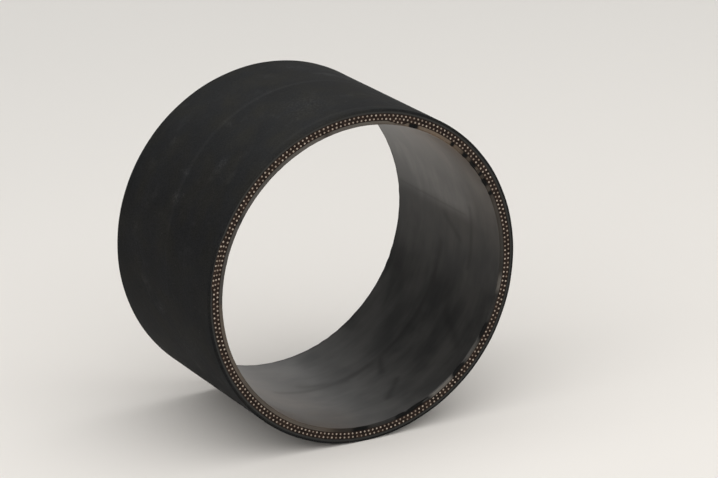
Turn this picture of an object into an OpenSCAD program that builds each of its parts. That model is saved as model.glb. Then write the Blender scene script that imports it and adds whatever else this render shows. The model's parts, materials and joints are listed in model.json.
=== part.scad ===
// Straight reinforced rubber coupling sleeve: a short length of plied hose that joins two
// pipe ends of the same size. Millimetres. The bore runs along Y, with a cut end facing -Y
// and another facing +Y, and Z is up; the sleeve lies on its side.
// It is built up the way the real one is, from the bore outwards: a lining tube, two plies
// of rubberised cord fabric, each closed by one lap splice, and a cover.

/* [Sleeve] */
// Bore diameter, the outside of the pipes it pushes onto
bore_d = 76.2; // [50:0.1:120]
// Length between the two cut ends
sleeve_l = 50.8; // [25:0.1:150]
// Bevel at the mouth of the bore, at both ends
mouth_bevel = 0.3; // [0.1:0.05:0.5]
// Rounding of the outer edge, at both ends
edge_round = 0.4; // [0.1:0.05:0.6]

/* [Layers] */
// Wall of the rubber lining tube
tube_t = 0.95; // [0.8:0.01:3]
// Thickness of one rubberised ply
ply_t = 0.93; // [0.8:0.01:1.3]
// Thickness of the rubber cover
cover_t = 1.09; // [0.9:0.01:3]
// Rubber over the cords where a lap presses into the lining or the cover
lap_skin = 0.12; // [0.08:0.01:0.2]
// Rubber over the cords where a lap presses against the other ply
press_skin = 0.03; // [0.02:0.01:0.1]

/* [Cords] */
// Diameter of one textile cord
cord_d = 0.5; // [0.3:0.01:0.6]
// Spacing of the cords round the inner ply
inner_spacing = 1.12; // [0.9:0.01:2]
// Spacing of the cords round the outer ply
outer_spacing = 1.19; // [0.9:0.01:2]

/* [Lap splices] */
// Where the inner ply starts, in degrees from +X towards +Z
inner_start = 74.6; // [0:0.1:360]
// How far the inner ply runs past its own start
inner_lap = 1.86; // [1:0.01:15]
// Rubber between the two layers of cords in the inner lap
inner_lap_gap = 0.34; // [0.1:0.01:0.4]
// How early the inner ply lifts ahead of its covered edge
inner_lead = 1.5; // [0.4:0.1:3]
// Where the outer ply starts, in degrees from +X towards +Z
outer_start = 159.1; // [0:0.1:360]
// How far the outer ply runs past its own start
outer_lap = 9.67; // [1:0.01:15]
// Rubber between the two layers of cords in the outer lap
outer_lap_gap = 0.15; // [0.1:0.01:0.4]
// How early the outer ply lifts ahead of its covered edge
outer_lead = 0.5; // [0.4:0.1:3]

/* [Hidden] */
// Radii of the surfaces between the layers, from the bore outwards
bore_r = bore_d / 2;
tube_r = bore_r + tube_t;
mid_r = tube_r + ply_t;
ply_r = mid_r + ply_t;
cover_r = ply_r + cover_t;
edge_r = min(edge_round, cover_t / 2);

// How far a lap moves its cords: the side pressed against the other ply gives way as far as
// that ply lets it, and the other side makes up the rest
press = (ply_t - cord_d) / 2 - press_skin;
inner_sink = cord_d + inner_lap_gap - press;
outer_lift = cord_d + outer_lap_gap - press;

// An arc length at radius r, as an angle
function turned(arc, r) = arc / r * 180 / PI;
// Smooth rise from 0 to 1 as x goes from 0 to 1
function ramp(x) = let (t = min(1, max(0, x))) t * t * (3 - 2 * t);

// A ply as a list, and what each place in the list holds
function ply(start, lap, spacing, r, sink, lift, lead) =
    let (span = 360 + turned(lap, r), gaps = round(span / turned(spacing, r)))
    [start, span - 360, span / gaps, gaps, r, sink, lift, turned(lead, r)];
inner_ply = ply(inner_start, inner_lap, inner_spacing, tube_r + ply_t / 2,
                inner_sink, press, inner_lead);
outer_ply = ply(outer_start, outer_lap, outer_spacing, mid_r + ply_t / 2,
                press, outer_lift, outer_lead);

function first(p) = p[0]; // angle of the first cord
function lap(p) = p[1];   // angle by which the sheet laps over itself
function step(p) = p[2];  // angle from cord to cord
function gaps(p) = p[3];  // gaps between the cords
function row(p) = p[4];   // radius of the row of cords
function sink(p) = p[5];  // how far the covered edge is pressed inwards
function lift(p) = p[6];  // how far the covering edge stands outwards
function lead(p) = p[7];  // angle by which it lifts ahead of the covered edge

// Radius of the cord row at a degrees past the first cord: the first edge of the sheet is
// pushed in until the last edge has passed over it, and the last edge rides over the first
function row_r(p, a) = row(p) + (a < 180
    ? -sink(p) * (1 - ramp((a - lap(p) + step(p) / 2) / (2 * step(p))))
    : lift(p) * ramp((a - 360 + lead(p) + step(p)) / step(p)));
function polar(r, a) = [r * cos(a), r * sin(a)];

lining_c = [0.26, 0.25, 0.24];
skim_c = [0.10, 0.07, 0.06];
cord_c = [0.80, 0.70, 0.62];
cover_c = [0.12, 0.12, 0.125];

// A section drawn in the XZ plane, run from one cut end to the other
module run() rotate([90, 0, 0]) linear_extrude(height = sleeve_l, center = true) children();

module ring(r_in, r_out) difference() {
    circle(r = r_out, $fn = 180);
    circle(r = r_in, $fn = 180);
}

// The cut ends of all the cords of one ply
module cords(p) for (i = [0:gaps(p)]) {
    a = i * step(p);
    translate(polar(row_r(p, a), first(p) + a)) circle(d = cord_d, $fn = 24);
}

// The part of the inner ply that dips into the lining under its lap: its lower edge follows
// the cords, and its upper one runs inside the ply
module inner_dip() {
    p = inner_ply;
    from = -step(p) / 2;
    to = lap(p) + 1.5 * step(p);
    n = 12;
    function at(i) = from + (to - from) * i / n;
    polygon(concat(
        [for (i = [n:-1:0]) polar(row_r(p, at(i)) - cord_d / 2 - lap_skin, first(p) + at(i))],
        [for (i = [0:n / 2:n]) polar(row(p), first(p) + at(i))]));
}

// The part of the outer ply that stands up into the cover over its lap
module outer_rise() {
    p = outer_ply;
    from = 360 - lead(p) - step(p);
    to = 360 + lap(p) + step(p) / 2;
    n = 24;
    function at(i) = from + (to - from) * i / n;
    polygon(concat(
        [for (i = [0:n]) polar(row_r(p, at(i)) + cord_d / 2 + lap_skin, first(p) + at(i))],
        [for (i = [n:-n / 4:0]) polar(row(p), first(p) + at(i))]));
}

module inner_tube() color(lining_c) difference() {
    run() difference() {
        ring(bore_r, tube_r);
        inner_dip();
    }
    for (end = [-90, 90]) rotate([end, 0, 0]) translate([0, 0, sleeve_l / 2 - mouth_bevel])
        cylinder(r1 = bore_r, r2 = bore_r + mouth_bevel, h = mouth_bevel, $fn = 180);
}

module inner_ply_rubber() color(skim_c) run() difference() {
    union() {
        ring(tube_r, mid_r);
        inner_dip();
    }
    cords(inner_ply);
}

module inner_ply_cords() color(cord_c) run() cords(inner_ply);

module outer_ply_rubber() color(skim_c) run() difference() {
    union() {
        ring(mid_r, ply_r);
        outer_rise();
    }
    cords(outer_ply);
}

module outer_ply_cords() color(cord_c) run() cords(outer_ply);

// Half the section of the cover, with its outer corners rounded
module cover_profile() {
    translate([ply_r, -sleeve_l / 2]) square([cover_t - edge_r, sleeve_l]);
    translate([ply_r, edge_r - sleeve_l / 2]) square([cover_t, sleeve_l - 2 * edge_r]);
    for (side = [-1, 1]) translate([cover_r - edge_r, side * (sleeve_l / 2 - edge_r)])
        circle(r = edge_r, $fn = 32);
}

module outer_cover() color(cover_c) difference() {
    rotate([90, 0, 0]) rotate_extrude($fn = 180) cover_profile();
    run() outer_rise();
}

inner_tube();
inner_ply_rubber();
inner_ply_cords();
outer_ply_rubber();
outer_ply_cords();
outer_cover();
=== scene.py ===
# %% [markdown]
# # A reinforced rubber coupling sleeve
#
# This is a short piece of plied hose, cut square at both ends, that joins two pipe ends of the
# same size. It is lying on its side. From the bore outwards it is a lining tube, two plies of
# rubberised cord fabric and a cover, all cured into one wall.
#
# The CAD model already has the true sizes, the number of cords and the two places where a ply
# laps over itself. Here each layer is made again with the surface that the real one has, in the
# same place and to the same size. Everything is in metres: the bore runs along Y, the cut end
# that we look at faces -Y, and Z is up.

import json
import math

import bpy
import numpy as np
from mathutils import Matrix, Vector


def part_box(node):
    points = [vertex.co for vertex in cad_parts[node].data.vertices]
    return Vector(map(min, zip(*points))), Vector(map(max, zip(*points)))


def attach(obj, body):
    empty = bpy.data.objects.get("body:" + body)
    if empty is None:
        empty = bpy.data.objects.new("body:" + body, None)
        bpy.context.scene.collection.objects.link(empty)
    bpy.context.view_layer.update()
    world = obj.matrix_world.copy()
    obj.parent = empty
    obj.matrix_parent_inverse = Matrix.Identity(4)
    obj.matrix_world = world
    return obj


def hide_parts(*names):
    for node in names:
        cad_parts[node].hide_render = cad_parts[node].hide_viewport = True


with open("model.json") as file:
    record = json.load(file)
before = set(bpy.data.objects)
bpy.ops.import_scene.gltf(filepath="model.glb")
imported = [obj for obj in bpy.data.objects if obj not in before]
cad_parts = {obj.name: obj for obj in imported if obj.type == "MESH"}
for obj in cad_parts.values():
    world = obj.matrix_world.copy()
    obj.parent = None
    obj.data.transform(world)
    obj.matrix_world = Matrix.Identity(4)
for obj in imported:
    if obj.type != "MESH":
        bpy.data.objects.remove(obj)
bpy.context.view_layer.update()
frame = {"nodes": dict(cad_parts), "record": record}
print("nodes", sorted(frame["nodes"]))

# %% [markdown]
# ## The sizes that every layer shares
#
# The wall is a set of rings, so a few radii place everything. They could be typed in again, but
# then a change in the CAD model would leave the looks behind. So each one is read from the top of
# the node that ends there, and the bore comes from the record's own bore mount.

# %% Read the radii from the CAD nodes
MM = 0.001


def top(node):
    """Radius at the top of a node, which is its highest Z, because the bore is on the Y axis."""
    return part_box(node)[1].z


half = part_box("outer_cover")[1].y
cover_r = top("outer_cover")
ply_r = top("outer_ply_rubber")
mid_r = top("inner_ply_rubber")
tube_r = top("inner_tube")
bore_r = next(m["dims"]["r_mm"] * MM for m in frame["record"]["mounts"]
              if m["name"] == "front_pipe_bore")
for name, size in (("half length", half), ("bore", bore_r), ("lining", tube_r),
                   ("inner ply", mid_r), ("outer ply", ply_r), ("cover", cover_r)):
    print(f"{name:12s} {size / MM:7.3f} mm")

# %% [markdown]
# ## Where the cords are
#
# Each ply holds a row of more than two hundred cords, and the row climbs over itself at the lap.
# Working that path out a second time would risk a mismatch. The CAD mesh knows it: every cord is
# a body of its own, so the corners that triangles join belong to one cord. Numbering the corners
# and letting the lowest number spread along the triangles gives each cord one number.

# %% Find the middle of every cord


def cord_centres(node):
    """X and Z of the middle of each cord, and its radius. Corners at the same place are one
    corner; each starts with its own number and takes the lowest one in its triangles, again and
    again, until nothing changes. The corners that share a number are averaged."""
    mesh = frame["nodes"][node].data
    mesh.calc_loop_triangles()
    corners = np.empty(3 * len(mesh.vertices), np.float32)
    mesh.vertices.foreach_get("co", corners)
    tris = np.empty(3 * len(mesh.loop_triangles), np.int32)
    mesh.loop_triangles.foreach_get("vertices", tris)
    place, same = np.unique(np.round(corners.reshape(-1, 3), 7), axis=0, return_inverse=True)
    tris = same.reshape(-1)[tris].reshape(-1, 3)
    number = np.arange(len(place))
    while True:
        lower = number.copy()
        np.minimum.at(lower, tris, number[tris].min(axis=1)[:, None])
        if np.array_equal(lower, number):
            break
        number = lower
    _, cord = np.unique(number, return_inverse=True)
    count = np.bincount(cord)
    middle = np.stack([np.bincount(cord, place[:, k]) / count for k in (0, 2)], axis=1)
    radius = np.hypot(*(place[:, [0, 2]] - middle[cord]).T).max()
    return middle, radius


inner_middles, cord_r = cord_centres("inner_ply_cords")
outer_middles, _ = cord_centres("outer_ply_cords")
print(len(inner_middles), "inner cords,", len(outer_middles), "outer cords, radius",
      round(cord_r / MM, 3), "mm")

# %% [markdown]
# ## Rings as grids
#
# Lining, plies and cover are all closed rings with a section that changes a little on the way
# round. Spinning a drawn section would give the same section everywhere. Instead the surface is a
# function of two parameters: the turn round the bore, and the step round the section. Numpy works
# out all the corners at once, and one helper puts them into a mesh.

# %% Helpers: turn angles, gentle waves, and a mesh from a grid
SHARP_ANGLE = math.radians(50)


def turns(count):
    """Angles of `count` equal steps round the bore, as a column, from +X towards +Z."""
    return (2 * np.pi * np.arange(count) / count)[:, None]


def waves(angle, along, seed, count, round_n, along_n):
    """An uneven height of about -1 to 1 that closes on itself round the bore: the sum of `count`
    cosines, each with a whole number of waves round the bore, some waves along its length, and a
    phase, all drawn from a seeded generator. The usual size of such a sum is 0.55 times the root
    of `count`, and 1.6 times that is taken as 1."""
    draw = np.random.default_rng(seed)
    total = 0.0
    for n, k, phase, size in zip(draw.integers(round_n[0], round_n[1] + 1, count),
                                 draw.uniform(along_n[0], along_n[1], count),
                                 draw.uniform(0, 2 * np.pi, count),
                                 draw.uniform(0.5, 1.0, count)):
        total = total + size * np.cos(n * angle + np.pi * k * along / half + phase)
    return total / (0.55 * math.sqrt(count) * 1.6)


def smooth(x):
    """Smooth rise from 0 to 1 as x goes from 0 to 1: 3 x squared less 2 x cubed."""
    x = np.clip(x, 0, 1)
    return x * x * (3 - 2 * x)


def turned_by(angle, middle):
    """Angle from `middle` to `angle`, the short way round, in radians."""
    return (angle - middle + np.pi) % (2 * np.pi) - np.pi


def ring_mesh(name, radius, along, shades=None):
    """A closed ring. Corner (j, k) is at (r cos t, y, r sin t), with t the turn of row j, and r and
    y from the two arrays. Both ways round close on themselves, and each corner's U and V are the
    distances in metres round the bore and round the section. Twice the signed volume, summed over
    the triangles as a . (b x c) / 3, says if the faces have to be turned to point outwards."""
    n, m = radius.shape
    t = turns(n)
    places = np.stack([radius * np.cos(t), along, radius * np.sin(t)], axis=-1).reshape(-1, 3)
    j, k = (a.reshape(-1) for a in np.meshgrid(np.arange(n), np.arange(m), indexing="ij"))
    corner_j = np.stack([j, j + 1, j + 1, j], axis=1)
    corner_k = np.stack([k, k, k + 1, k + 1], axis=1)
    quads = (corner_j % n) * m + corner_k % m
    a, b, c, d = (places[quads[:, i]] for i in range(4))
    volume = sum((p * np.cross(q, r)).sum() for p, q, r in ((a, b, c), (a, c, d))) / 6
    if volume < 0:
        quads, corner_j, corner_k = (x[:, ::-1] for x in (quads, corner_j, corner_k))
    mesh = bpy.data.meshes.new(name)
    mesh.vertices.add(n * m)
    mesh.vertices.foreach_set("co", places.astype(np.float32).reshape(-1))
    mesh.loops.add(4 * n * m)
    mesh.loops.foreach_set("vertex_index", quads.astype(np.int32).reshape(-1))
    mesh.polygons.add(n * m)
    mesh.polygons.foreach_set("loop_start", 4 * np.arange(n * m, dtype=np.int32))
    mesh.polygons.foreach_set("use_smooth", np.ones(n * m, bool))
    r0, y0 = radius.mean(axis=0), along.mean(axis=0)
    steps = np.hypot(np.diff(r0, append=r0[:1]), np.diff(y0, append=y0[:1]))
    v = np.concatenate([[0.0], np.cumsum(steps)])
    uv = np.stack([corner_j * (2 * np.pi * r0.max() / n), v[corner_k]], axis=-1)
    mesh.uv_layers.new(name="metres").data.foreach_set("uv", uv.astype(np.float32).reshape(-1))
    for key, values in (shades or {}).items():
        mesh.attributes.new(key, "FLOAT", "POINT").data.foreach_set(
            "value", values.astype(np.float32).reshape(-1))
    mesh.update(calc_edges=True)
    mesh.validate()
    mesh.set_sharp_from_angle(angle=SHARP_ANGLE)
    piece = bpy.data.objects.new(name, mesh)
    bpy.context.scene.collection.objects.link(piece)
    print(f"{name}: {n} x {m} corners, {2 * n * m} triangles, volume {abs(volume) * 1e9:.0f} mm3")
    return piece


def place_piece(piece, node, finish):
    """The piece stands for a CAD node, which it hides, rides on the body, and takes a finish."""
    piece.data.materials.append(finish.material)
    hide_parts(node)
    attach(piece, "root")


# %% [markdown]
# ## Shader sums in Python
#
# A finish is mostly arithmetic on noise: stretch it, cut it off, mix two of them. Each sum is a
# Math node, and a page of hand-wired nodes is hard to read. A small class wraps a socket, so that
# `1 - mask * 0.3` adds the nodes itself. Every other node comes from one method.

# %% Helpers: a finish and the sockets in it
COAT_ROUGHNESS = 0.31


class Value:
    """A socket of a finish that Python can do sums with."""

    def __init__(self, finish, socket):
        self.finish, self.socket = finish, socket

    def sum(self, operation, first, second):
        return self.finish.node("ShaderNodeMath", {"operation": operation}, {0: first, 1: second})

    def __add__(self, other):
        return self.sum("ADD", self, other)

    def __sub__(self, other):
        return self.sum("SUBTRACT", self, other)

    def __mul__(self, other):
        return self.sum("MULTIPLY", self, other)

    def __radd__(self, other):
        return self.sum("ADD", other, self)

    def __rsub__(self, other):
        return self.sum("SUBTRACT", other, self)

    def __rmul__(self, other):
        return self.sum("MULTIPLY", other, self)

    def between(self, low, high):
        """0 where the value is under low, 1 over high, and a smooth rise from one to the other."""
        return self.finish.node("ShaderNodeMapRange", {"interpolation_type": "SMOOTHSTEP"},
                                {"Value": self, "From Min": low, "From Max": high})


class NodeTree:
    """The nodes of one material, or of the light all round the studio."""

    def __init__(self, owner):
        owner.use_nodes = True
        self.tree = owner.node_tree
        self.tree.nodes.clear()

    def node(self, kind, settings=None, sockets=None, out=0):
        """Adds a node of a kind, sets its settings first, then fills its sockets with values or
        links, and returns one of its outputs."""
        node = self.tree.nodes.new(kind)
        for name, value in (settings or {}).items():
            setattr(node, name, value)
        for name, value in (sockets or {}).items():
            if isinstance(value, Value):
                self.tree.links.new(value.socket, node.inputs[name])
            else:
                node.inputs[name].default_value = value
        return Value(self, node.outputs[out]) if node.outputs else None


class Finish(NodeTree):
    """A material with a Principled shader at its end."""

    def __init__(self, name):
        self.material = bpy.data.materials.new(name)
        super().__init__(self.material)
        self.place = self.node("ShaderNodeTexCoord", out="Object")

    def stretched(self, x, y, z):
        """Object place with each axis scaled, so that noise on it is drawn out along one."""
        return self.node("ShaderNodeVectorMath", {"operation": "MULTIPLY"},
                         {0: self.place, 1: (x, y, z)})

    def noise(self, per_mm, detail=3.0, rough=0.5, at=None):
        """Cloudy noise of 0 to 1, with about `per_mm` blotches in each millimetre."""
        return self.node("ShaderNodeTexNoise", None, {
            "Vector": at or self.place, "Scale": per_mm / MM, "Detail": detail,
            "Roughness": rough})

    def given(self, name):
        """A number that the piece's mesh carries for each corner."""
        return self.node("ShaderNodeAttribute", {"attribute_name": name}, out="Fac")

    def mixed(self, factor, first, second):
        """The first colour where the factor is 0 and the second where it is 1."""
        colours = [c if isinstance(c, Value) else (*c, 1.0) for c in (first, second)]
        return self.node("ShaderNodeMix", {"data_type": "RGBA"},
                         {0: factor, 6: colours[0], 7: colours[1]}, out=2)

    def bumped(self, height, depth_mm):
        """A normal for a height of 0 to 1 that stands for `depth_mm` millimetres."""
        return self.node("ShaderNodeBump", None, {
            "Height": height, "Distance": depth_mm * MM, "Strength": 1.0})

    def shaded(self, colour, roughness, normal, gloss, coat=0.0):
        """The Principled shader with what changes over the surface, and a steady gloss level. A
        coat is a second reflecting layer, and how much of it there is may change too."""
        shader = self.node("ShaderNodeBsdfPrincipled", None, {
            "Base Color": colour, "Roughness": roughness, "Normal": normal,
            "Specular IOR Level": gloss, "Coat Weight": coat, "Coat Roughness": COAT_ROUGHNESS})
        self.node("ShaderNodeOutputMaterial", None, {"Surface": shader})
        print(self.material.name, "has", len(self.tree.nodes), "nodes")


# %% [markdown]
# ## How the laps move the layers
#
# A ply is a sheet that is rolled round the tube, and its last edge lies over its first. At the
# inner lap the first cords are pushed down into the lining. At the outer lap the last cords stand
# up into the cover. So the surface between two layers is a plain circle except at a lap, where
# it keeps a skin of rubber over the cords that reach beyond it.

# %% Surfaces between the layers
LAP_SKIN = 0.1 * MM
LEAST_PUSH = 0.02 * MM
CORD_PITCH = 1.15 * MM


def reach(angle, middles, limit, outwards):
    """How far a surface at radius `limit` has to move so that it clears the cords by a skin. Each
    cord asks for its own distance within half a pitch of its angle, fading over the next pitch,
    and the largest request wins."""
    radius = np.hypot(*middles.T)
    need = radius + cord_r + LAP_SKIN - limit if outwards else limit - radius + cord_r + LAP_SKIN
    pushing = need > LEAST_PUSH
    away = np.abs(turned_by(angle, np.arctan2(middles[pushing, 1], middles[pushing, 0])))
    pitch = CORD_PITCH / limit
    ask = need[pushing] * (1 - smooth((away / pitch - 0.55) / 1.1))
    return ask.max(axis=1, keepdims=True)


def lining_top(angle):
    """Radius where the lining meets the inner ply."""
    return tube_r - reach(angle, inner_middles, tube_r, outwards=False)


def ply_top(angle):
    """Radius where the outer ply meets the cover."""
    return ply_r + reach(angle, outer_middles, ply_r, outwards=True)


for name, change in (("inner lap dips", tube_r - lining_top(turns(3600))),
                     ("outer lap rises", ply_top(turns(3600)) - ply_r)):
    where = np.degrees(turns(3600)[change > 0.05 * MM])
    print(f"{name} {change.max() / MM:.2f} mm, from {where.min():.0f} to {where.max():.0f} degrees")

# %% [markdown]
# ## The cover
#
# The cover is a matte black rubber skin. It was cured under a tight wrap of cloth tape, which
# leaves a faint step every so often, running round the sleeve at a slight slant. The knife that
# cut the sleeve to length has rounded the edges unevenly. A texture could only colour these; as
# real height they catch the light. Every change goes inwards from the true radius, so the sleeve
# keeps its size.

# %% Cover surface
COVER_TURNS, OUTSIDE_STEPS, EDGE_STEPS, FACE_STEPS = 720, 97, 6, 8
COVER_EDGE, CUT_RELIEF, END_FADE = 0.42 * MM, 0.015 * MM, 3 * MM
WRAP_TURN, WRAP_SWING, WRAP_SHIFT = 26.8 * MM, 6.8 * MM, 3.2 * MM
WORN_AT, WORN_WIDTH = math.radians(195), math.radians(40)
# Where painted light from above makes the cover paler at the top: its middle and its width
TOP_LIGHT_AT, TOP_LIGHT_WIDTH = math.radians(113), math.radians(32)


def wrap_marks(angle, along):
    """Depth of 0 to 1 of the marks that the tape left. Each mark swings along the sleeve with the
    sine of the angle. It falls to its full depth over 0.03 of a turn of tape, loses four fifths
    of it just after, and the rest fades until the next. On one side the marks are worn down."""
    climb = along - WRAP_SWING * np.sin(angle) + WRAP_SHIFT
    step = (climb / WRAP_TURN + 0.02) % 1.0
    ridge = smooth(step / 0.03) * (1 - 0.8 * smooth((step - 0.04) / 0.04)
                                   - 0.2 * smooth((step - 0.05) / 0.95))
    worn = 1 - 0.8 * smooth(1.4 - np.abs(turned_by(angle, WORN_AT)) / WORN_WIDTH)
    return ridge * worn * (0.7 + 0.3 * waves(angle, along, 5, 6, (1, 5), (0, 1)))


# Places that were rubbed or dusted: degrees, mm along, mm wide round and along, how strong
SCUFFS = ((101, -12, 6, 7, 0.7), (136, -10, 2.2, 1.6, 1.0), (144, 1.5, 0.7, 1.5, 1.0),
          (152.5, 0.3, 1.5, 1.9, 1.0), (122.5, 1.4, 0.8, 2.0, 0.8), (108, -17, 2.5, 1.2, 0.6),
          (112, -9.5, 0.7, 2.4, 0.6), (137, 15, 1.2, 1.0, 0.7), (160, 15, 4, 4, 0.2),
          (192, 2.8, 1.5, 2.2, 0.7), (85, 18, 3, 3, 0.5), (176, 14, 6, 4, 0.25),
          (205, -8, 6, 8, 0.5), (262, -3, 3, 6, 0.7), (305, 9, 4, 3, 0.7), (338, -12, 2, 5, 0.8),
          (20, 4, 5, 3, 0.6), (47, -6, 2, 2, 0.9), (62, 12, 4, 5, 0.6))


def scuffed(angle, along):
    """How rubbed the cover is, 0 to 1: each mark fades as the square of the distance from its
    middle, counted in its own widths, and the strongest mark wins."""
    rubbed = np.zeros(np.broadcast(angle, along).shape)
    for at, y, wide, long, strong in SCUFFS:
        across = cover_r * turned_by(angle, math.radians(at)) / (wide * MM)
        rubbed = np.maximum(rubbed, strong * np.exp(-across ** 2 - ((along - y * MM)
                                                                    / (long * MM)) ** 2))
    return rubbed


def cover_section(count):
    """Radius and Y all round the cover's section, for `count` turns: along the outside, round the
    back edge, down the back face, through the wall to the front face, and up it."""
    t = turns(count)
    round_off = np.linspace(0, np.pi / 2, EDGE_STEPS + 1)[1:]
    flat = np.linspace(0, 1, OUTSIDE_STEPS)
    edge = COVER_EDGE * (1 + 0.14 * waves(t, half, 11, 8, (2, 24), (0, 0)))
    front = COVER_EDGE * (1 + 0.14 * waves(t, half, 12, 8, (2, 24), (0, 0)))
    # outside, front to back
    y = (-half + front) + flat * (2 * half - front - edge)
    marks = wrap_marks(t, y)
    fade = smooth((y + half) / END_FADE) * smooth((half - y) / END_FADE)
    low = (0.03 * (1 + waves(t, y, 21, 10, (1, 9), (0, 2))) / 2
           + 0.014 * (1 + waves(t, y, 22, 16, (30, 120), (6, 40))) / 2
           + 0.045 * marks) * MM * fade
    r = cover_r - np.clip(low, 0, 0.2 * MM)
    # back edge, then the face, the hidden wall, the face, and the front edge
    back_r = cover_r - edge * (1 - np.cos(round_off))
    back_y = half - edge * (1 - np.sin(round_off))
    inside = ply_top(t)
    down = np.linspace(0, 1, FACE_STEPS + 1)[1:]
    face_r = (cover_r - edge) + (inside - cover_r + edge) * down
    cut = CUT_RELIEF * (1 + waves(t, face_r, 31, 14, (20, 90), (0, 30))).clip(0, 2)
    face_y = half - cut * smooth(down * 3)
    front_face_r = ((cover_r - front) + (inside - cover_r + front) * down)[:, ::-1]
    cut = CUT_RELIEF * (1 + waves(t, front_face_r, 32, 14, (20, 90), (0, 30))).clip(0, 2)
    front_face_y = -half + cut * smooth(down * 3)[::-1]
    front_r = (cover_r - front * (1 - np.cos(round_off)))[:, ::-1]
    front_y = (-half + front * (1 - np.sin(round_off)))[:, ::-1]
    radius = np.hstack([r, back_r, face_r, front_face_r, front_r])
    along = np.hstack([y, back_y, face_y, front_face_y, front_y])
    step = np.hstack([marks * fade, np.zeros((count, radius.shape[1] - marks.shape[1]))])
    cut_face = np.zeros_like(radius)
    cut_face[:, OUTSIDE_STEPS + EDGE_STEPS + 2:-EDGE_STEPS - 2] = 1
    # Painted light: the cover is paler round its top, as if lit from above
    dust_and_top_light = np.exp(-(turned_by(t, TOP_LIGHT_AT) / TOP_LIGHT_WIDTH) ** 2)
    return radius, along, {"wrap": step, "cut": cut_face, "scuff": scuffed(t, along),
                           "dust_and_top_light": dust_and_top_light + 0 * radius}


radius, along, shades = cover_section(COVER_TURNS)
cover_skin = ring_mesh("cover_skin", radius, along, shades)
print("cover reaches", round(radius.max() / MM, 3), "mm, thinnest",
      round((radius[:, :OUTSIDE_STEPS].min(axis=1)
             - ply_top(turns(COVER_TURNS))[:, 0]).min() / MM, 2), "mm")

# %% [markdown]
# ## The cover's finish
#
# Black rubber is not one black. It is dull and almost without gloss, with a fine grain from the
# cloth, cloudy smudges where it was handled and a few pale specks of talc. The top, round 113
# degrees, is made paler with painted light from above. The colour stays very dark, because even
# dull rubber sends back some of the white studio. The grain is height, and the smudges change both
# the colour and the roughness.

# %% Cover finish
cover_finish = Finish("cover_rubber_wrapped")
f = cover_finish
clouds = f.noise(0.09, 4.0, 0.55)
smudge = f.noise(0.16, 5.0, 0.6).between(0.55, 0.78)
grain = f.noise(2.6, 4.0, 0.7)
cloth = f.noise(1.6, 2.0, 0.5, f.stretched(1.0, 0.28, 1.0))
dust_and_top_light = f.noise(1.9, 2.0, 0.4).between(0.70, 0.76)
dusty = f.noise(0.21, 3.0, 0.6).between(0.52, 0.66)
wrap = f.given("wrap")
scuff = f.given("scuff") * (f.noise(1.7, 4.0, 0.7).between(0.44, 0.66) + 0.10)
# The paleness mixes real smudges, clouds, tape marks, talc specks, scuffs and grain with painted
# light on the top
pale = (smudge * 0.09 + clouds.between(0.3, 0.75) * 0.05 + wrap * 0.15 + dust_and_top_light * dusty * 0.5
        + scuff * 0.42 + grain.between(0.38, 0.62) * 0.13 + f.given("dust_and_top_light") * 0.20)
colour = f.mixed(pale, (0.0029, 0.0034, 0.0042), (0.056, 0.057, 0.058))
colour = f.mixed(f.noise(0.13, 3.0).between(0.35, 0.7), colour,
                 f.mixed(pale, (0.0039, 0.0040, 0.0036), (0.064, 0.063, 0.058)))
colour = f.mixed(f.given("cut") * (0.5 + 0.5 * grain), colour, (0.036, 0.0355, 0.0335))
height = grain * 0.6 + cloth * 0.4
f.shaded(colour, 0.72 + grain * 0.2 - smudge * 0.08, f.bumped(height, 0.035), 0.12)
place_piece(cover_skin, "outer_cover", cover_finish)

# %% [markdown]
# ## The lining
#
# The lining is a thin tube of rubber that was formed on a smooth steel mandrel, so the bore is
# satin and reflects softly. It is never a perfect cylinder: it has slow flow marks and a few
# streaks. At the mouth the knife has dragged the edge over, so a narrow bevel there is wide in some
# places and missing in others. Its paleness is partly scuffing and partly a painted highlight of
# the lit bevel, and the dark patches on it and just inside the bore are painted shade of torn
# notches.

# %% Lining surface
LINING_TURNS, BORE_STEPS, BEVEL_STEPS = 900, 85, 5

# Turn in degrees and how pale the cut edge is there, from 0, dark with painted shade, to 1, pale
# with scuffing and a painted highlight of the lit bevel
RIM = ((0, 0.3), (27, 0.25), (29, 0.0), (31, 0.0), (33, 0.3), (36, 0.0), (39, 0.0), (42, 0.3),
       (44, 0.05), (47, 0.3), (66, 0.5), (69, 0.05), (72, 0.55), (90, 0.8), (102, 0.7), (105, 0.2),
       (108, 0.7), (146, 0.6), (149, 0.2), (152, 0.6), (180, 0.5), (202, 0.55), (250, 0.6),
       (259, 0.15), (284, 0.15), (288, 0.3), (292, 0.0), (297, 0.0), (300, 1.0), (308, 1.0),
       (311, 0.1), (315, 0.1), (319, 0.55), (323, 0.45), (328, 0.15), (344, 0.25), (347, 0.9),
       (350, 0.8), (353, 0.3), (360, 0.3))

# Painted shade of torn notches at the mouth's edge: degrees, half width in degrees, mm into the
# bore
NOTCH_SHADES = ((24.5, 0.7, 0.4), (29.8, 1.2, 1.0), (33.5, 0.6, 0.35), (38.2, 1.5, 0.9), (43.8, 0.9, 0.6),
          (51, 0.8, 0.3), (69.5, 1.4, 0.7), (292, 4.0, 0.6), (285, 2.0, 0.4), (313, 2.5, 0.5),
          (330, 3.0, 0.35), (268, 3.0, 0.3))


def rim_pale(angle):
    """How pale the mouth's edge is at an angle: straight lines between the places in RIM."""
    where, how = zip(*RIM)
    return np.interp(np.degrees(angle) % 360, where, how)


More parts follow.
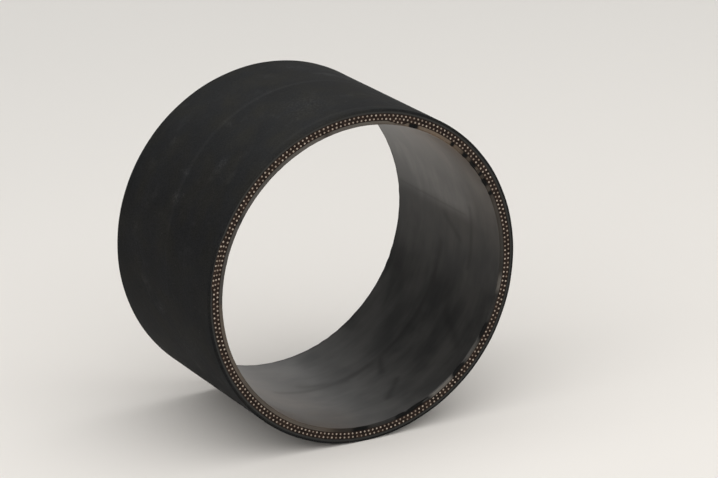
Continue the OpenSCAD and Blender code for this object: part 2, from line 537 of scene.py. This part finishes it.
# Lines left in the bore by the mandrel and by handling: from and to in degrees, from and to in
# mm along, half width in mm, how strong
LINES = ((-105, -8, 2.4, 2.9, 1.0, 0.45), (-12, 12, -11.0, -11.8, 0.8, 0.45),
         (8.2, 8.6, -9, 24, 0.3, 0.3), (-72, -63, -15.5, -10.5, 0.9, 0.5),
         (-64, -59, -3.5, 2.5, 0.9, 0.5), (-92, -76, 6, 1.5, 1.2, 0.4),
         (-40, -31, -20, -8, 1.4, 0.35), (-3, 4, -6, 1.5, 1.0, 0.35),
         (95, 150, 9, 7.5, 0.5, 0.6), (160, 205, -6, -4, 0.5, 0.6),
         (118, 119, -18, 16, 0.4, 0.6), (221, 232, 12, -3, 0.6, 0.6))


def notch_shaded(angle, along):
    """How much painted shade of a torn notch hides the bore, 0 to 1: full at its middle by the
    edge, fading as the square of the angle and over a quarter of a millimetre at its tip."""
    hidden = np.zeros(np.broadcast(angle, along).shape)
    deep = (along + half) / MM
    for at, wide, reach_in in NOTCH_SHADES:
        off = turned_by(angle, math.radians(at)) / math.radians(wide)
        tip = reach_in * np.exp(-off ** 2)
        hidden = np.maximum(hidden, smooth((tip - deep) / 0.25 + 0.5) * smooth(tip / 0.15))
    return hidden


def lined(angle, along):
    """How strongly the bore is marked, 0 to 1: the distance from each straight stroke, laid out
    flat, fades as its square over the stroke's half width, and the strongest stroke wins."""
    marked = np.zeros(np.broadcast(angle, along).shape)
    for a0, a1, y0, y1, wide, strong in LINES:
        start = np.array([0.0, y0 * MM])
        way = np.array([bore_r * math.radians(a1 - a0), (y1 - y0) * MM])
        u = bore_r * turned_by(angle, math.radians((a0 + a1) / 2)) + way[0] / 2
        v = along - start[1]
        share = np.clip((u * way[0] + v * way[1]) / (way @ way), 0, 1)
        off = np.hypot(u - share * way[0], v - share * way[1]) / (wide * MM)
        marked = np.maximum(marked, strong * np.exp(-off ** 2))
    return marked


def lining_section(count):
    """Radius and Y all round the lining's section: along the bore, over the back bevel, up the
    back face, through the wall to the front face, and down it over the front bevel. The bore only
    moves outwards, so a pipe still fits. Steps along the bore are finer near the front mouth."""
    t = turns(count)
    flat = np.linspace(0, 1, BORE_STEPS) ** 1.5
    pale = rim_pale(t)
    turned_back = smooth(np.abs(turned_by(t, math.radians(135))) / math.radians(50) - 0.35)
    front = (0.06 + turned_back * (0.1 + 0.24 * pale)
             + 0.03 * (1 + waves(t, half, 41, 12, (8, 120), (0, 0)))) * MM
    back = (0.26 + 0.07 * waves(t, half, 42, 12, (3, 90), (0, 0))) * MM
    y = (-half + front) + flat * (2 * half - front - back)
    low = (0.035 * (1 + waves(t, y, 51, 9, (1, 6), (0, 1.5))) / 2
           + 0.012 * (1 + waves(t, y, 52, 12, (8, 30), (0.5, 5))) / 2) * MM
    r = bore_r + np.clip(low, 0, 0.08 * MM)
    top_r = lining_top(t)
    up = turn_in = np.linspace(0, 1, BEVEL_STEPS + 1)[1:]
    back_r = r[:, -1:] + back * turn_in
    back_y = half - back * (1 - turn_in ** 1.3)
    face_r = back_r[:, -1:] + (top_r - back_r[:, -1:]) * up
    face_y = half - 0.01 * MM * (1 + waves(t, face_r, 61, 12, (20, 110), (0, 20))).clip(0, 2)
    front_r = (r[:, :1] + front * turn_in)[:, ::-1]
    front_y = (-half + front * (1 - turn_in ** 1.3))[:, ::-1]
    front_face_r = (front_r[:, :1] + (top_r - front_r[:, :1]) * up)[:, ::-1]
    ragged = (0.05 * (1 - pale) + 0.28 * smooth(1 - pale / 0.14)
              + 0.025 * (1 + waves(t, front_face_r, 62, 14, (20, 140), (0, 20))) / 2)
    front_face_y = -half + np.clip(ragged, 0, 0.4) * MM
    radius = np.hstack([r, back_r, face_r, front_face_r, front_r])
    along = np.hstack([y, back_y, face_y, front_face_y, front_y])
    edge = np.zeros_like(radius)
    edge[:, BORE_STEPS:BORE_STEPS + BEVEL_STEPS] = 0.5
    edge[:, -2 * BEVEL_STEPS:] = pale
    edge[:, 0:1] = pale
    # The sheen is weaker round 0 degrees and from -78 to -180. A brown tint, partly a painted warm
    # reflection, lies round 62 degrees and from -80 to -180. Both change suddenly at 180 degrees,
    # which the camera can't see.
    degrees = np.degrees(turned_by(t, 0))
    deep = smooth((along + 16 * MM) / (7 * MM))
    edge_of_dull = deep * smooth((12.0 - degrees) / 8) + (1 - deep) * smooth((26 - degrees) / 32)
    dull = edge_of_dull * smooth((degrees + 40) / 34) + 0.55 * smooth((-78 - degrees) / 24)
    dull = dull + (1 - deep) * (0.32 * smooth((degrees + 12) / 30)
                                + 0.3 * smooth((-62 - degrees) / 20))
    brown_and_warm_reflection = np.exp(-((degrees - 62) / 34) ** 2) + 0.45 * smooth((-80 - degrees) / 30)
    # The shade of the torn notches at the mouth is painted into the bore
    shades = {"pale": edge, "line": lined(t, along), "notch_shade": notch_shaded(t, along),
              "rim": smooth((np.abs(along) - half + 0.45 * MM) / (0.3 * MM)),
              "dull": dull + 0 * along, "brown_and_warm_reflection": brown_and_warm_reflection * (1 - 0.55 * smooth(along / half))}
    return radius, along, shades


radius, along, shades = lining_section(LINING_TURNS)
lining_skin = ring_mesh("lining_skin", radius, along, shades)
in_bore = radius[:, :BORE_STEPS]
print("bore", round(in_bore.min() / MM, 3), "to", round(in_bore.max() / MM, 3), "mm")

# %% [markdown]
# ## The lining's finish
#
# A satin surface shows the studio by its reflections, so how strongly it reflects matters more
# than its colour. The sheen is a coat over dull rubber, and the strength of the coat changes:
# clouds and streaks of talc raise it, and lines, the painted shade of torn notches, the dull places
# and the brown tint, which also holds a painted warm reflection, lower it. The roughness under it
# changes only a little. The cut edge is dull and scratched; its paleness is partly scuffing and
# partly a painted highlight of the lit bevel, and where it is not pale it is darkened with painted
# shade.

# %% Lining finish
lining_finish = Finish("lining_rubber_satin")
f = lining_finish
clouds = f.noise(0.075, 2.0, 0.5)
streaks = f.noise(0.14, 3.0, 0.55, f.stretched(0.6, 1.7, 0.6))
fine = f.noise(2.4, 3.0, 0.6)
pale = f.given("pale")
rim = f.given("rim")
patch = clouds * 0.6 + streaks * 0.4
line = f.given("line")
talc = patch.between(0.36, 0.66) * (1 - line * 0.8)
colour = f.mixed(talc, (0.0058, 0.0058, 0.0058), (0.021, 0.0195, 0.0175))
# Brown tint round 62 degrees and from -80 to -180, partly a painted warm reflection of the studio
colour = f.mixed(f.given("brown_and_warm_reflection") * (0.5 + 0.5 * talc), colour, (0.150, 0.104, 0.068))
# Pale cut edge: partly scuffing, partly a painted highlight where the bevel catches the light
scuff = pale * (0.65 + 0.5 * f.noise(4.0, 3.0)) * rim
colour = f.mixed(scuff.between(0.0, 1.15), colour, (0.112, 0.102, 0.090))
# Painted shade: the cut edge is darkened where it is not pale, as in torn notches
colour = f.mixed((rim * (1 - pale)).between(0.5, 1.0) * 0.7, colour, (0.0045, 0.0042, 0.0040))
# Painted shade of torn notches at the mouth, reaching a little way into the bore
notch_shade = f.given("notch_shade")
colour = f.mixed(notch_shade, colour, (0.0035, 0.0035, 0.0035))
roughness = 0.38 + talc * 0.2 + line * 0.1 + rim * 0.3
shine = ((0.60 + talc * 0.46 - line * 0.4) * (1 - f.given("dull") * 0.6)
         * (1 - f.given("brown_and_warm_reflection") * 0.55) * (1 - notch_shade * 0.9) * (1 - rim * 0.4))
height = patch * 0.5 + fine * 0.06 + rim * fine * 0.4
f.shaded(colour, roughness, f.bumped(height, 0.05), 0.1, shine)
place_piece(lining_skin, "inner_tube", lining_finish)

# %% [markdown]
# ## The rubber of the two plies
#
# Between the cords is a soft brownish skim rubber. On a cut end the knife springs back and leaves
# it a little lower than the cords, and it clings to each of them in a small slope. So the end
# face is a height field over the distance to the nearest cord. The long inner and outer walls
# are never seen, and take one step each.

# %% Ply rubber surfaces
PLY_TURNS = 1800


def nearest(radius, angle, middles):
    """Distance from each point (radius, angle) of an end face to the middle of the nearest cord."""
    x, z = radius * np.cos(angle), radius * np.sin(angle)
    away = np.full(x.shape, 1.0)
    for part in np.array_split(middles, 16):
        away = np.minimum(away, np.hypot(x[..., None] - part[:, 0], z[..., None] - part[:, 1])
                          .min(axis=-1))
    return away


def ply_section(count, inside, outside, middles, seed):
    """Radius and Y round a ply's section: up the back face, and down the front face. Each face
    is sunk by 0.15 mm between the cords and by 0.095 mm beside them, with a rough tear of a few
    hundredths, and never by less than 0.06 mm or more than 0.2 mm."""
    t = turns(count)
    up = np.linspace(0, 1, 10)
    face_r = inside(t) + (outside(t) - inside(t)) * up
    gap = nearest(face_r, t, middles)
    sunk = 0.095 + 0.055 * smooth((gap - cord_r) / (0.3 * MM))
    tear = [0.02 * waves(t, face_r, seed + s, 18, (60, 420), (10, 90)) for s in (0, 1)]
    back = half - np.clip(sunk + tear[0], 0.06, 0.2) * MM
    front = -half + np.clip(sunk + tear[1], 0.06, 0.2) * MM
    return np.hstack([face_r, face_r[:, ::-1]]), np.hstack([back, front[:, ::-1]])


inner_skim = ring_mesh("inner_ply_skim", *ply_section(
    PLY_TURNS, lining_top, lambda t: mid_r + 0 * t, inner_middles, 71))
outer_skim = ring_mesh("outer_ply_skim", *ply_section(
    PLY_TURNS, lambda t: mid_r + 0 * t, ply_top, outer_middles, 81))

# %% Ply rubber finish
skim_finish = Finish("ply_rubber_cut")
f = skim_finish
blotch = f.noise(0.8, 4.0, 0.6)
grit = f.noise(7.0, 3.0, 0.6)
colour = f.mixed(blotch.between(0.35, 0.7), (0.010, 0.0058, 0.0040), (0.029, 0.0170, 0.0118))
f.shaded(colour, 0.68 + grit * 0.25, f.bumped(grit, 0.04), 0.16)
place_piece(inner_skim, "inner_ply_rubber", skim_finish)
place_piece(outer_skim, "outer_ply_rubber", skim_finish)

# %% [markdown]
# ## The cords
#
# A cord is three twisted yarns of undyed polyester, cut off short. Its end is what makes the two
# rows of pale dots. There are more than four hundred of them, so each has only a few dozen faces:
# nine sides that bulge as three yarns, a small chamfer and a low crown at each end. All cords of
# a ply are one mesh, worked out as one array of cord by side by ring.

# %% Cord surfaces
SIDES = 9
# Share of the radius, and mm below the tip, of the two rings at a cord's end: wall, then chamfer
END_RINGS = ((1.0, 0.05), (0.86, 0.015))


def cord_row(name, middles, seed):
    """All cords of one ply. Side s of a cord is at the angle a = 2 pi s / 9 + its own turn, at
    the radius r (0.93 + 0.07 cos 3 s), and each end steps in to 0.86 of that for the chamfer and
    to a point for the crown. Every cord stops its own few hundredths below the cut."""
    draw = np.random.default_rng(seed)
    count = len(middles)
    side = 2 * np.pi * np.arange(SIDES) / SIDES
    angle = side + draw.uniform(0, 2 * np.pi, (count, 1))
    lobes = cord_r * (0.93 + 0.07 * np.cos(3 * side))
    short = draw.uniform(0.0, 0.045, (count, 2)) * MM
    lean = draw.uniform(-0.02, 0.02, (count, 2)) * MM
    rings = []
    for end in (0, 1):
        sign = 1 if end else -1
        rings.append([(lobes * share, sign * (half - short[:, end] - down * MM))
                      for share, down in END_RINGS])
    order = [rings[0][1], rings[0][0], rings[1][0], rings[1][1]]
    places = np.stack([np.stack([
        middles[:, :1] + lean[:, :1] * (0 if i in (1, 2) else 1) + r * np.cos(angle),
        np.repeat(y[:, None], SIDES, axis=1),
        middles[:, 1:] + lean[:, 1:] * (0 if i in (1, 2) else 1) + r * np.sin(angle)], axis=-1)
        for i, (r, y) in enumerate(order)], axis=1)
    tips = np.stack([np.stack([middles[:, 0], sign * (half - short[:, end]), middles[:, 1]],
                              axis=-1) for end, sign in ((0, -1), (1, 1))], axis=1)
    per = 4 * SIDES + 2
    corners = np.concatenate([places.reshape(count, -1, 3), tips], axis=1).reshape(-1, 3)
    s = np.arange(SIDES)
    nxt = (s + 1) % SIDES
    quads = np.concatenate([np.stack([i * SIDES + s, (i + 1) * SIDES + s,
                                      (i + 1) * SIDES + nxt, i * SIDES + nxt], axis=1)
                            for i in range(3)])
    tris = np.concatenate([np.stack([np.full(SIDES, 4 * SIDES), s, nxt], axis=1),
                           np.stack([np.full(SIDES, 4 * SIDES + 1), 3 * SIDES + nxt,
                                     3 * SIDES + s], axis=1)])
    start = per * np.arange(count)[:, None, None]
    faces = [*(quads + start).reshape(-1, 4).tolist(), *(tris + start).reshape(-1, 3).tolist()]
    mesh = bpy.data.meshes.new(name)
    mesh.from_pydata(corners.tolist(), [], faces)
    shade = np.repeat(draw.uniform(0, 1, count), per)
    mesh.attributes.new("shade", "FLOAT", "POINT").data.foreach_set(
        "value", shade.astype(np.float32))
    inwards = np.cross(corners[quads[0][1]] - corners[quads[0][0]],
                       corners[quads[0][2]] - corners[quads[0][0]])
    outside = corners[quads[0]].mean(axis=0) - [middles[0, 0], 0, middles[0, 1]]
    if (inwards * outside * [1, 0, 1]).sum() < 0:
        mesh.flip_normals()
    mesh.update(calc_edges=True)
    piece = bpy.data.objects.new(name, mesh)
    bpy.context.scene.collection.objects.link(piece)
    print(f"{name}: {count} cords, {len(faces) // count} faces each")
    return piece


inner_cords = cord_row("inner_cord_row", inner_middles, 91)
outer_cords = cord_row("outer_cord_row", outer_middles, 92)

# %% [markdown]
# ## The cords' finish
#
# The yarn is pale tan, with a rim of brown dip that bonds it to the rubber. Each cord has its own
# shade, carried by its corners. The tiny filaments are a grain in the bump, finer than a tenth of
# a millimetre.

# %% Cord finish
cord_finish = Finish("textile_cord_tan")
f = cord_finish
shade = f.given("shade")
fibres = f.noise(14.0, 2.0, 0.6)
colour = f.mixed(shade, (0.185, 0.143, 0.111), (0.44, 0.375, 0.31))
colour = f.mixed(fibres.between(0.45, 0.75) * 0.45, colour, (0.20, 0.125, 0.085))
f.shaded(colour, 0.8 + fibres * 0.15, f.bumped(fibres, 0.03), 0.25)
place_piece(inner_cords, "inner_ply_cords", cord_finish)
place_piece(outer_cords, "outer_ply_cords", cord_finish)

# %% [markdown]
# ## Studio
#
# The sleeve lies on a wide pale floor whose colour gets a little darker towards the back: a painted
# fall-off of the light, which is brighter in front. A large soft ceiling light hangs in front and
# to the left, and a small soft box at the right is very weak. A satin bore shows what stands round
# it, so the light all round matters too: it is bright low down at the right and in front, and dim
# at the left behind. The floor belongs to the stage, not to the object.

# %% Floor


def disc(radius, height, rings, sides):
    """A flat round floor: corner (i, j) is at the radius times (i / rings) squared, so that the
    grid is finer near the middle, and at the angle 2 pi j / sides."""
    r = radius * (np.arange(1, rings + 1) / rings)[:, None] ** 2
    a = 2 * np.pi * np.arange(sides) / sides
    places = np.stack([r * np.cos(a), r * np.sin(a), 0 * r + height + 0 * a], axis=-1)
    places = np.vstack([places.reshape(-1, 3), [[0, 0, height]]])
    i, j = (x.reshape(-1) for x in np.meshgrid(np.arange(rings - 1), np.arange(sides),
                                               indexing="ij"))
    k = (j + 1) % sides
    quads = np.stack([i * sides + j, (i + 1) * sides + j, (i + 1) * sides + k, i * sides + k],
                     axis=1)
    j = np.arange(sides)
    middle = np.stack([np.full(sides, rings * sides), j, (j + 1) % sides], axis=1)
    mesh = bpy.data.meshes.new("floor")
    mesh.from_pydata(places.tolist(), [], quads.tolist() + middle.tolist())
    piece = bpy.data.objects.new("floor", mesh)
    bpy.context.scene.collection.objects.link(piece)
    return piece


FLOOR_RADIUS, FLOOR_RINGS, FLOOR_SIDES = 8.0, 24, 96
floor = disc(FLOOR_RADIUS, -cover_r, FLOOR_RINGS, FLOOR_SIDES)
floor_finish = Finish("floor_paper")
f = floor_finish
paper = f.noise(0.004, 3.0, 0.5)
# Painted light: the floor's colour darkens towards the back, as the light falls off
behind = f.node("ShaderNodeSeparateXYZ", None, {0: f.place}, out=1).between(-0.15, 0.45)
colour = f.mixed(behind + paper * 0.1, (0.900, 0.866, 0.822), (0.800, 0.780, 0.748))
f.shaded(colour, 0.9 + paper * 0.05, f.bumped(f.noise(1.0), 0.01), 0.1)
floor.data.materials.append(floor_finish.material)
print("floor at", round(-cover_r / MM, 1), "mm")

# %% Lights


def soft_box(name, place, aim, size, power, tint=(1.0, 1.0, 1.0)):
    """A rectangular area light at a place, turned to look at a point."""
    light = bpy.data.lights.new(name, "AREA")
    light.shape = "RECTANGLE"
    light.size, light.size_y = size
    light.energy, light.color = power, tint
    lamp = bpy.data.objects.new(name, light)
    lamp.location = place
    way = np.subtract(aim, place)
    lamp.rotation_euler = (math.pi / 2 + math.atan2(way[2], math.hypot(way[0], way[1])), 0,
                           math.atan2(-way[0], way[1]))
    bpy.context.scene.collection.objects.link(lamp)


soft_box("ceiling", (-1.6, -1.1, 1.70), (-1.6, -1.1, 0), (5.8, 3.8), 85.0)
soft_box("right_box", (0.75, -0.05, 1.05), (0, 0, 0), (1.0, 1.0), 0.4, (1.0, 0.985, 0.95))

SEEN_AIR, LEAST_AIR, AIR_GLOW = 0.72, 0.12, 0.85
world = bpy.data.worlds.new("studio_air")
air = NodeTree(world)
way = air.node("ShaderNodeTexCoord", out="Generated")
x, y, z = (air.node("ShaderNodeSeparateXYZ", None, {0: way}, out=i) for i in range(3))
dim_side = y.between(-0.2, 0.3) * (1 - x.between(-0.35, 0.45))
glow = (1 - z.between(0.30, 0.80)) * (1 - dim_side * 0.9)
seen = air.node("ShaderNodeLightPath", out="Is Camera Ray")
strength = seen * SEEN_AIR + (1 - seen) * (LEAST_AIR + glow * AIR_GLOW)
back = air.node("ShaderNodeBackground", None,
                {"Color": (1.0, 0.985, 0.96, 1.0), "Strength": strength})
air.node("ShaderNodeOutputWorld", None, {"Surface": back})
bpy.context.scene.world = world
bpy.context.scene.view_settings.view_transform = "Standard"

# %% Camera
EYE = (-0.3648, -0.6879, 0.2613)
YAW, PITCH, ROLL = (math.radians(x) for x in (28.74, 18.38, -0.31))
LENS_MM, SENSOR_MM = 166.8, 36.0
camera = bpy.data.objects.new("camera", bpy.data.cameras.new("camera"))
camera.matrix_world = (Matrix.Translation(EYE) @ Matrix.Rotation(-YAW, 4, "Z")
                       @ Matrix.Rotation(math.pi / 2 - PITCH, 4, "X")
                       @ Matrix.Rotation(ROLL, 4, "Z"))
camera.data.lens, camera.data.sensor_width = LENS_MM, SENSOR_MM
camera.data.clip_start, camera.data.clip_end = 0.05, 20.0
bpy.context.scene.collection.objects.link(camera)
bpy.context.scene.camera = camera
print("camera", [round(x, 3) for x in EYE])
